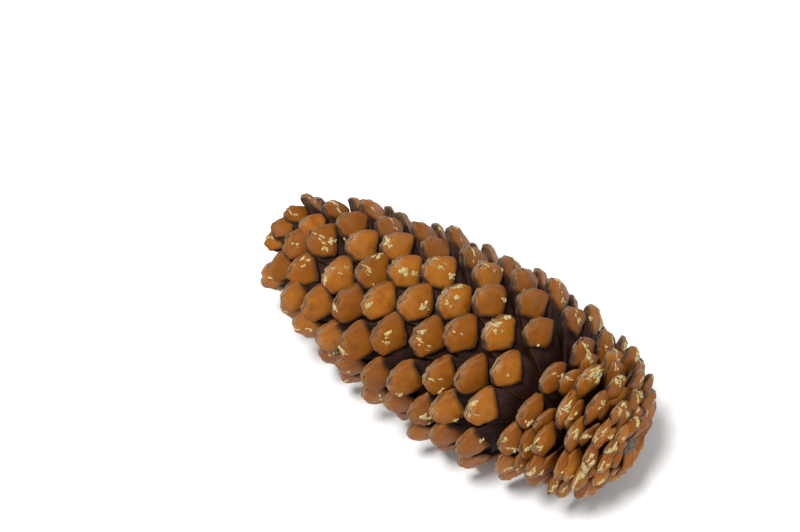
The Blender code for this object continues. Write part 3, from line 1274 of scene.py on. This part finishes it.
@dataclass
class ResinPatches:
    """Dried resin on the scales, as crusts of small lumps and as runs near the tips."""

    coat: ScaleCoat
    crusts: Sequence[Crust]
    ring: int = 12
    rows: int = 5
    spin: tuple[float, float] = (0.55, 1.4)
    least_width_mm: float = 2.0
    most_across: float = 0.98
    crown: float = 0.6
    lift_spread: tuple[float, float] = (0.75, 1.25)
    edge_sink_mm: float = 0.35
    row_limits: tuple[float, float] = (0.3, 0.992)
    look_ahead: float = 0.004
    look_beside: float = 0.02
    sink_mm: float = 0.8
    middle_sink_mm: float = 0.9
    crust_seed: int = 300
    first_size: float = 0.62
    lump_size: tuple[float, float] = (0.25, 0.5)
    lump_away: tuple[float, float] = (0.3, 0.95)
    lump_shape: tuple[float, float] = (0.6, 1.0)
    lump_height_mm: float = 0.45
    lump_steepness: float = 0.16
    run_seed: int = 9000
    run_chance: float = 0.36
    base_chance: float = 0.80
    base_from_mm: float = 228.0
    base_broadness: float = 1.6
    run_least_length_mm: float = 20.0
    run_middle: float = 0.55
    run_count: tuple[int, int] = (2, 6)
    run_along: tuple[float, float] = (0.82, 0.975)
    run_across: float = 0.25
    run_length_mm: tuple[float, float] = (0.9, 2.6)
    run_width_mm: tuple[float, float] = (0.45, 1.1)
    run_height_mm: tuple[float, float] = (0.25, 0.65)

    def lump(self, scale: SeedScale, along: float, across: float, reach: tuple[float, float],
             height: float, draw: random.Random) -> tuple[np.ndarray, Faces]:
        """Builds one lump that follows the outer face of a scale.

        Args:
            scale: The scale that carries it.
            along: Share of the scale's length at its middle.
            across: Share of the half width at its middle, from -1 to 1.
            reach: Half its size along and across, in mm.
            height: How far it stands off the face, in mm.
            draw: Source of its unevenness.

        Returns:
            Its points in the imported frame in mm, and its faces.
        """
        surface = self.coat.surface
        spin = [draw.uniform(*self.spin) for _ in range(self.ring)]
        share, side, lift, flats = [], [], [], []
        width = scale.half_width * float(flowing(surface.width, np.array([along]))[0])
        width = max(self.least_width_mm, width)
        for row in range(self.rows + 1):
            out = row / self.rows
            crown = math.cos(out * 0.5 * math.pi) ** self.crown if row < self.rows else 0.0
            for spot in range(self.ring):
                turn = 2.0 * math.pi * spot / self.ring
                far = out * spin[spot]
                share.append(along + math.cos(turn) * far * reach[0] / scale.length)
                flat = across + math.sin(turn) * far * reach[1] / width
                flat = max(-self.most_across, min(self.most_across, flat))
                flats.append(flat)
                cosine = math.copysign(abs(flat) ** (1.0 / surface.squareness), flat)
                side.append(math.acos(cosine))
                rise = height * crown * draw.uniform(*self.lift_spread)
                lift.append(rise - self.edge_sink_mm * out)
        row_place = surface.row_place(scale, np.array(share), np.array(flats))
        row_place = np.clip(row_place, *self.row_limits)
        sides = np.array(side)
        here = surface.points(scale, row_place, sides)
        ahead = surface.points(scale, row_place + self.look_ahead, sides)
        beside = surface.points(scale, row_place, sides - self.look_beside)
        normal = np.cross(ahead - here, beside - here)
        normal /= np.maximum(np.linalg.norm(normal, axis=1), 1e-9)[:, None]
        normal *= np.sign(normal[:, 1])[:, None]
        top = here + normal * np.array(lift)[:, None]
        bottom = (here - normal * self.sink_mm)[-self.ring:]
        points = np.vstack([top, bottom, here[:1] - normal[:1] * self.middle_sink_mm])
        count = (self.rows + 1) * self.ring
        faces = []
        for spot in range(self.ring):
            following = (spot + 1) % self.ring
            for row in range(self.rows):
                low, high = row * self.ring, (row + 1) * self.ring
                faces.append((low + spot, high + spot, high + following, low + following))
            last = self.rows * self.ring
            faces.append((last + spot, count + spot, count + following, last + following))
            faces.append((count + spot, count + self.ring, count + following))
        faces.append(tuple(reversed(range(self.ring))))
        return self.coat.placed(scale, points), faces

    def crust_lumps(self, number: int, crust: Crust) -> list[tuple[np.ndarray, Faces]]:
        """Builds the lumps of one crust, a large one with smaller ones round it.

        Args:
            number: The crust's number, which seeds it.
            crust: The crust.

        Returns:
            The points and the faces of each lump.
        """
        draw = random.Random(self.crust_seed + number)
        scale = self.coat.scales[crust.scale]
        made = []
        for lump in range(crust.lumps):
            size = crust.size * (self.first_size if lump == 0 else draw.uniform(*self.lump_size))
            away = 0.0 if lump == 0 else crust.size * draw.uniform(*self.lump_away)
            turn = draw.uniform(0.0, 2.0 * math.pi)
            along = crust.along + math.cos(turn) * away / scale.length
            across = crust.across + math.sin(turn) * away / scale.half_width
            reach = (size * draw.uniform(*self.lump_shape), size * draw.uniform(*self.lump_shape))
            height = self.lump_height_mm + size * self.lump_steepness
            made.append(self.lump(scale, along, across, reach, height, draw))
        return made

    def run_lumps(self, scale: SeedScale) -> list[tuple[np.ndarray, Faces]]:
        """Builds the small runs near a scale's tip, where it has any.

        Args:
            scale: The scale, whose index seeds them.

        Returns:
            The points and the faces of each run.
        """
        draw = random.Random(self.run_seed + scale.index)
        base = scale.axial > self.base_from_mm
        chance = self.base_chance if base else self.run_chance
        if draw.random() > chance or scale.length < self.run_least_length_mm:
            return []
        middle = draw.uniform(-self.run_middle, self.run_middle)
        wide = self.base_broadness if base else 1.0
        made = []
        for _ in range(draw.randint(*self.run_count)):
            along = draw.uniform(*self.run_along)
            across = middle + draw.uniform(-self.run_across, self.run_across)
            reach = (draw.uniform(*self.run_length_mm), wide * draw.uniform(*self.run_width_mm))
            height = draw.uniform(*self.run_height_mm)
            made.append(self.lump(scale, along, across, reach, height, draw))
        return made

    def build(self) -> bpy.types.Object:
        """Builds all the resin as one piece.

        Returns:
            The piece.
        """
        made: list[tuple[np.ndarray, Faces]] = []
        for number, crust in enumerate(self.crusts):
            made.extend(self.crust_lumps(number, crust))
        for scale in self.coat.scales + self.coat.small_scales:
            made.extend(self.run_lumps(scale))
        points, faces = joined(made)
        return new_piece("dried_resin", points * MM, faces)

    def dress(self, piece: bpy.types.Object, finish: bpy.types.Material) -> None:
        """Gives the resin its finish and its place in the frame.

        Args:
            piece: The resin.
            finish: Its material.
        """
        piece.data.materials.append(finish)
        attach(piece, "root")
        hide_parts(NODE)


@dataclass
class Studio:
    """The floor, the soft lights and the camera."""

    azimuth_deg: float = 35.44
    elevation_deg: float = 56.8
    distance_m: float = 3.0
    focal_px: float = 4612.5
    centre_px: tuple[float, float] = (452.9, 336.3)
    target_m: tuple[float, float, float] = (0.0, 0.0, 0.066)
    picture_px: tuple[int, int] = (800, 532)
    sensor_mm: float = 36.0
    far_end_m: float = 100.0
    floor_size_m: float = 30.0
    room_strength: float = 0.58
    light_from: tuple[float, float, float] = (-0.02, -0.34, 1.0)
    light_spread_deg: float = 15.0
    light_strength: float = 3.1

    def floor(self) -> None:
        """Lays the floor."""
        half = 0.5 * self.floor_size_m
        corners = [(-half, -half, 0.0), (half, -half, 0.0), (half, half, 0.0), (-half, half, 0.0)]
        plane = new_piece("floor", np.array(corners), [(0, 1, 2, 3)], smooth=False)
        plane.data.materials.append(FloorFinish().material())

    def high_light(self) -> None:
        """Adds a wide soft light from far above."""
        data = bpy.data.lights.new("high_light", "SUN")
        data.angle = math.radians(self.light_spread_deg)
        data.energy = self.light_strength
        lamp = bpy.data.objects.new("high_light", data)
        lamp.rotation_euler = Vector(self.light_from).to_track_quat("Z", "Y").to_euler()
        bpy.context.scene.collection.objects.link(lamp)

    def air(self) -> None:
        """Fills the room with even white light."""
        world = bpy.data.worlds.new("soft_room")
        world.use_nodes = True
        back = world.node_tree.nodes["Background"]
        back.inputs["Color"].default_value = (1.0, 1.0, 1.0, 1.0)
        back.inputs["Strength"].default_value = self.room_strength
        bpy.context.scene.world = world

    def axes(self) -> tuple[Vector, Vector, Vector]:
        """Works out the view's own directions.

        Returns:
            The directions right, up and back towards the camera.
        """
        a, e = math.radians(self.azimuth_deg), math.radians(self.elevation_deg)
        back = Vector((math.sin(a) * math.cos(e), -math.cos(a) * math.cos(e), math.sin(e)))
        right = Vector((math.cos(a), math.sin(a), 0.0))
        return right, back.cross(right), back

    def camera(self) -> None:
        """Sets the camera so that the cone's middle falls on its place in the picture."""
        right, up, back = self.axes()
        target = Vector(self.target_m)
        spot = target + back * self.distance_m
        wide, high = self.picture_px
        off_right = (self.centre_px[0] - 0.5 * wide) / self.focal_px * self.distance_m
        off_up = (0.5 * high - self.centre_px[1]) / self.focal_px * self.distance_m
        aim = target - right * off_right - up * off_up
        data = bpy.data.cameras.new("camera")
        data.sensor_width = self.sensor_mm
        data.lens = self.focal_px * data.sensor_width / wide
        data.clip_end = self.far_end_m
        camera = bpy.data.objects.new("camera", data)
        camera.location = spot
        camera.rotation_mode = "QUATERNION"
        camera.rotation_quaternion = (aim - spot).to_track_quat("-Z", "Y")
        bpy.context.scene.collection.objects.link(camera)
        bpy.context.scene.camera = camera

    def set_up(self) -> None:
        """Builds the whole studio."""
        self.camera()
        self.floor()
        self.air()
        self.high_light()
        bpy.context.scene.view_settings.view_transform = "Standard"


CRUSTS: tuple[Crust, ...] = tuple(Crust(*row) for row in (
    (169, 0.982, 0.82, 9.0, 12), (167, 0.884, -0.92, 6.5, 8), (149, 0.838, -0.67, 6.5, 9),
    (138, 0.785, -0.08, 4.5, 6), (162, 0.949, -0.91, 5.0, 7), (162, 0.967, 0.53, 3.2, 3),
    (129, 0.785, -0.47, 6.0, 8), (136, 0.780, -0.34, 3.4, 4), (142, 0.837, 0.32, 4.6, 6),
    (147, 0.899, -0.58, 3.6, 4), (147, 0.777, -0.11, 2.8, 3), (154, 0.908, -0.55, 4.6, 6),
    (152, 0.876, 0.17, 4.4, 6), (158, 0.906, -0.57, 3.6, 4), (180, 0.901, -0.91, 4.4, 5),
    (171, 0.973, 0.71, 3.6, 4), (175, 0.951, -0.90, 4.6, 5), (186, 0.968, -0.71, 4.2, 5),
    (186, 0.846, 0.02, 3.2, 3), (182, 0.807, -0.40, 3.4, 4), (173, 0.911, -0.81, 3.2, 4),
    (134, 0.816, 0.61, 3.8, 5), (145, 0.980, -0.89, 2.8, 3), (147, 0.975, 0.58, 2.6, 3),
    (132, 0.780, 0.63, 3.8, 4), (132, 0.763, 0.81, 3.2, 3), (143, 0.761, 0.24, 2.8, 3),
    (184, 0.779, 0.34, 3.2, 3), (160, 0.804, -0.42, 2.6, 3), (129, 0.812, 0.89, 3.0, 3),
    (95, 0.859, 0.16, 5.0, 7), (95, 0.792, 0.82, 3.4, 3), (73, 0.885, -0.15, 4.0, 6),
    (73, 0.862, 0.34, 3.2, 4), (64, 0.887, 0.11, 4.6, 8), (64, 0.783, -0.13, 3.8, 6),
    (77, 0.761, -0.15, 3.6, 5), (88, 0.933, -0.94, 3.6, 5), (88, 0.893, -0.15, 3.6, 5),
    (112, 0.951, -0.47, 4.2, 6), (112, 0.908, -0.94, 3.6, 5), (112, 0.932, 0.10, 3.2, 4),
    (57, 0.882, 0.94, 4.0, 5), (75, 0.784, -0.01, 4.2, 6), (75, 0.783, 0.05, 3.0, 4),
    (53, 0.965, 0.73, 4.0, 6), (51, 0.903, -0.94, 3.6, 5), (27, 0.782, -0.11, 3.8, 6),
    (27, 0.779, 0.35, 3.0, 4), (8, 0.762, 0.45, 5.0, 5), (45, 0.813, -0.62, 4.0, 4),
    (60, 0.970, 0.71, 3.6, 4), (45, 0.873, -0.52, 3.4, 3), (86, 0.944, -0.43, 3.8, 4),
    (88, 0.918, 0.53, 3.2, 4), (101, 0.762, -0.49, 3.2, 4), (31, 0.873, 0.42, 3.0, 3),
    (51, 0.910, 0.14, 3.4, 4), (51, 0.764, 0.70, 3.0, 4), (38, 0.954, 0.89, 3.0, 3),
    (77, 0.889, -0.05, 3.0, 4), (62, 0.948, 0.49, 3.0, 4), (62, 0.929, 0.25, 2.8, 3),
    (49, 0.983, 0.63, 2.6, 3), (90, 0.833, -0.89, 3.0, 3), (29, 0.763, 0.94, 2.8, 3),
    (25, 0.909, -0.94, 2.8, 3), (92, 0.914, -0.73, 3.2, 4), (116, 0.783, 0.11, 3.0, 3),
    (121, 0.989, -0.89, 3.0, 4), (97, 0.808, 0.74, 3.0, 3), (132, 0.965, -0.72, 3.0, 3),
    (108, 0.762, 0.59, 3.0, 3), (84, 0.861, 0.82, 2.8, 3), (58, 0.893, 0.34, 2.6, 3),
    (125, 0.779, 0.62, 2.6, 3), (123, 0.840, 0.31, 2.4, 3), (119, 0.766, -0.38, 3.0, 3),
    (69, 0.817, -0.34, 2.6, 3), (34, 0.815, 0.09, 2.6, 3),
))


def report(piece: bpy.types.Object) -> None:
    """Logs a piece's name and how many faces it has."""
    LOG.info("%s: %d faces", piece.name, len(piece.data.polygons))


def main() -> None:
    """Builds the cone's pieces in order, then the studio round them."""
    logging.basicConfig(level=logging.INFO, format="%(name)s: %(message)s")
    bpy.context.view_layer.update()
    coat = ScaleCoat()
    coat.lay_out()
    coat.lay_out_small()
    bark = ScaleFinish().material()
    groups = {f"scales_{zone.name.lower()}": coat.within(zone) for zone in Zone}
    groups["scales_small_base"] = coat.small_scales
    for name, scales in groups.items():
        piece = coat.build(name, scales)
        coat.dress(piece, bark)
        report(piece)
    core = CorkyCore()
    piece = core.build()
    core.dress(piece, CoreFinish().material())
    report(piece)
    resin = ResinPatches(coat, CRUSTS)
    piece = resin.build()
    resin.dress(piece, ResinFinish().material())
    report(piece)
    Studio().set_up()


if __name__ == "__main__":
    main()
